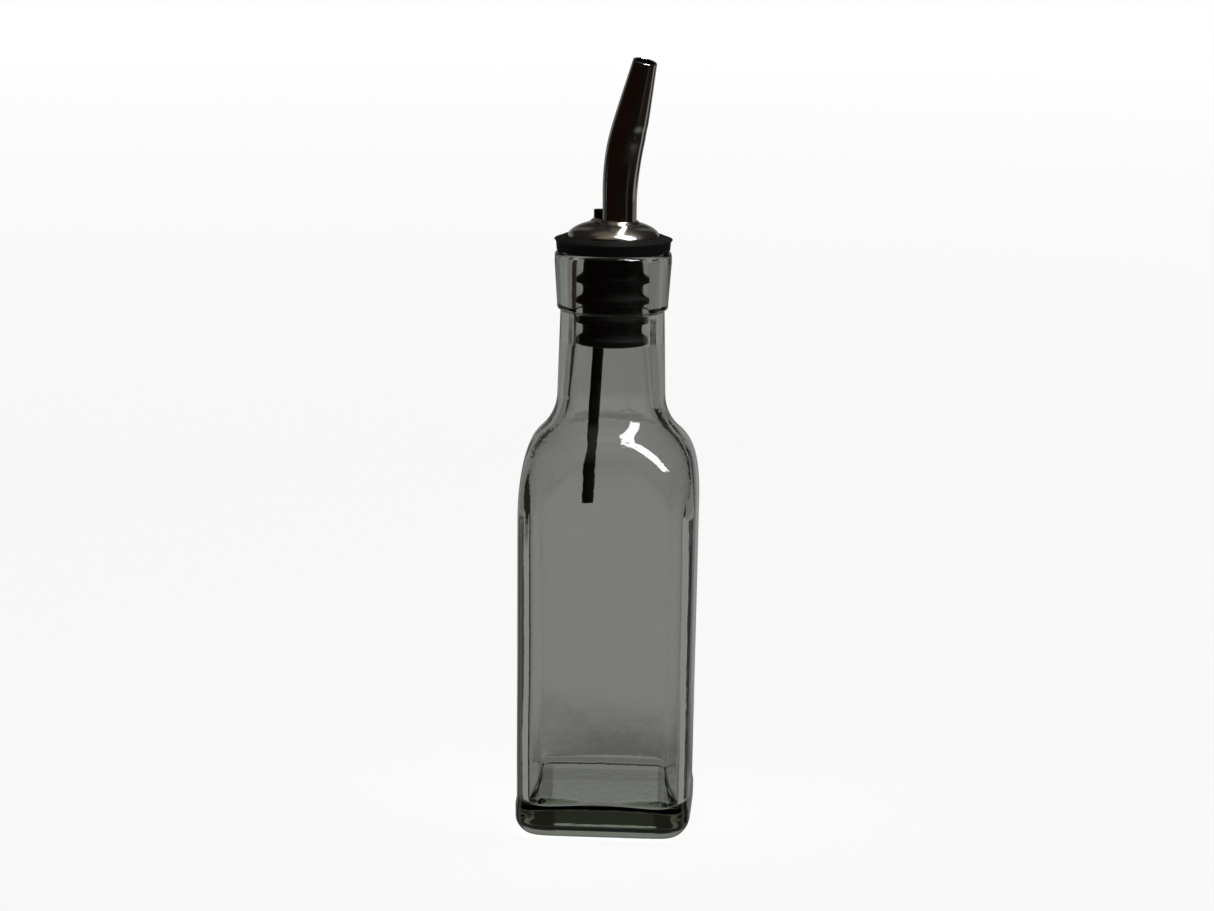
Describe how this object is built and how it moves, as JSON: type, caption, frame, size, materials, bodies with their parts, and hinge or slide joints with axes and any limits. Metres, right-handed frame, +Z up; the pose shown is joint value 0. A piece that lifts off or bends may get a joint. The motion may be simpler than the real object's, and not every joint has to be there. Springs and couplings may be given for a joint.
{
  "type": "oil bottle with pourer",
  "caption": "Square clear glass oil bottle with a round neck, a ribbed rubber stopper and a turning metal pouring spout with an air vent tube.",
  "frame": {"origin": "centre of the base's resting plane, on the bottle's axis", "axes": "+Z up along the neck, the front face of the body looks along -Y, +X to the right"},
  "size_m": [0.046, 0.046, 0.2012],
  "materials": {
    "clear_glass": "clear, polished",
    "black_rubber": "matte",
    "black_plastic": "satin",
    "polished_steel": "polished stainless"
  },
  "bodies": {
    "bottle": {"glass_bottle": "clear_glass"},
    "stopper": {"rubber_stopper": "black_rubber"},
    "pourer_head": {"stopper_core": "black_plastic", "dome_cap": "polished_steel", "spout": "polished_steel", "vent_tube": "black_plastic"}
  },
  "joints": [
    {"name": "stopper_lift", "type": "slide", "parent": "bottle", "child": "stopper", "axis": [0, 0, 1], "range_m": [0, 0.075]},
    {"name": "spout_turn", "type": "hinge", "parent": "stopper", "child": "pourer_head", "pos_m": [0, 0, 0.1529], "axis": [0, 0, 1], "continuous": true}
  ]
}
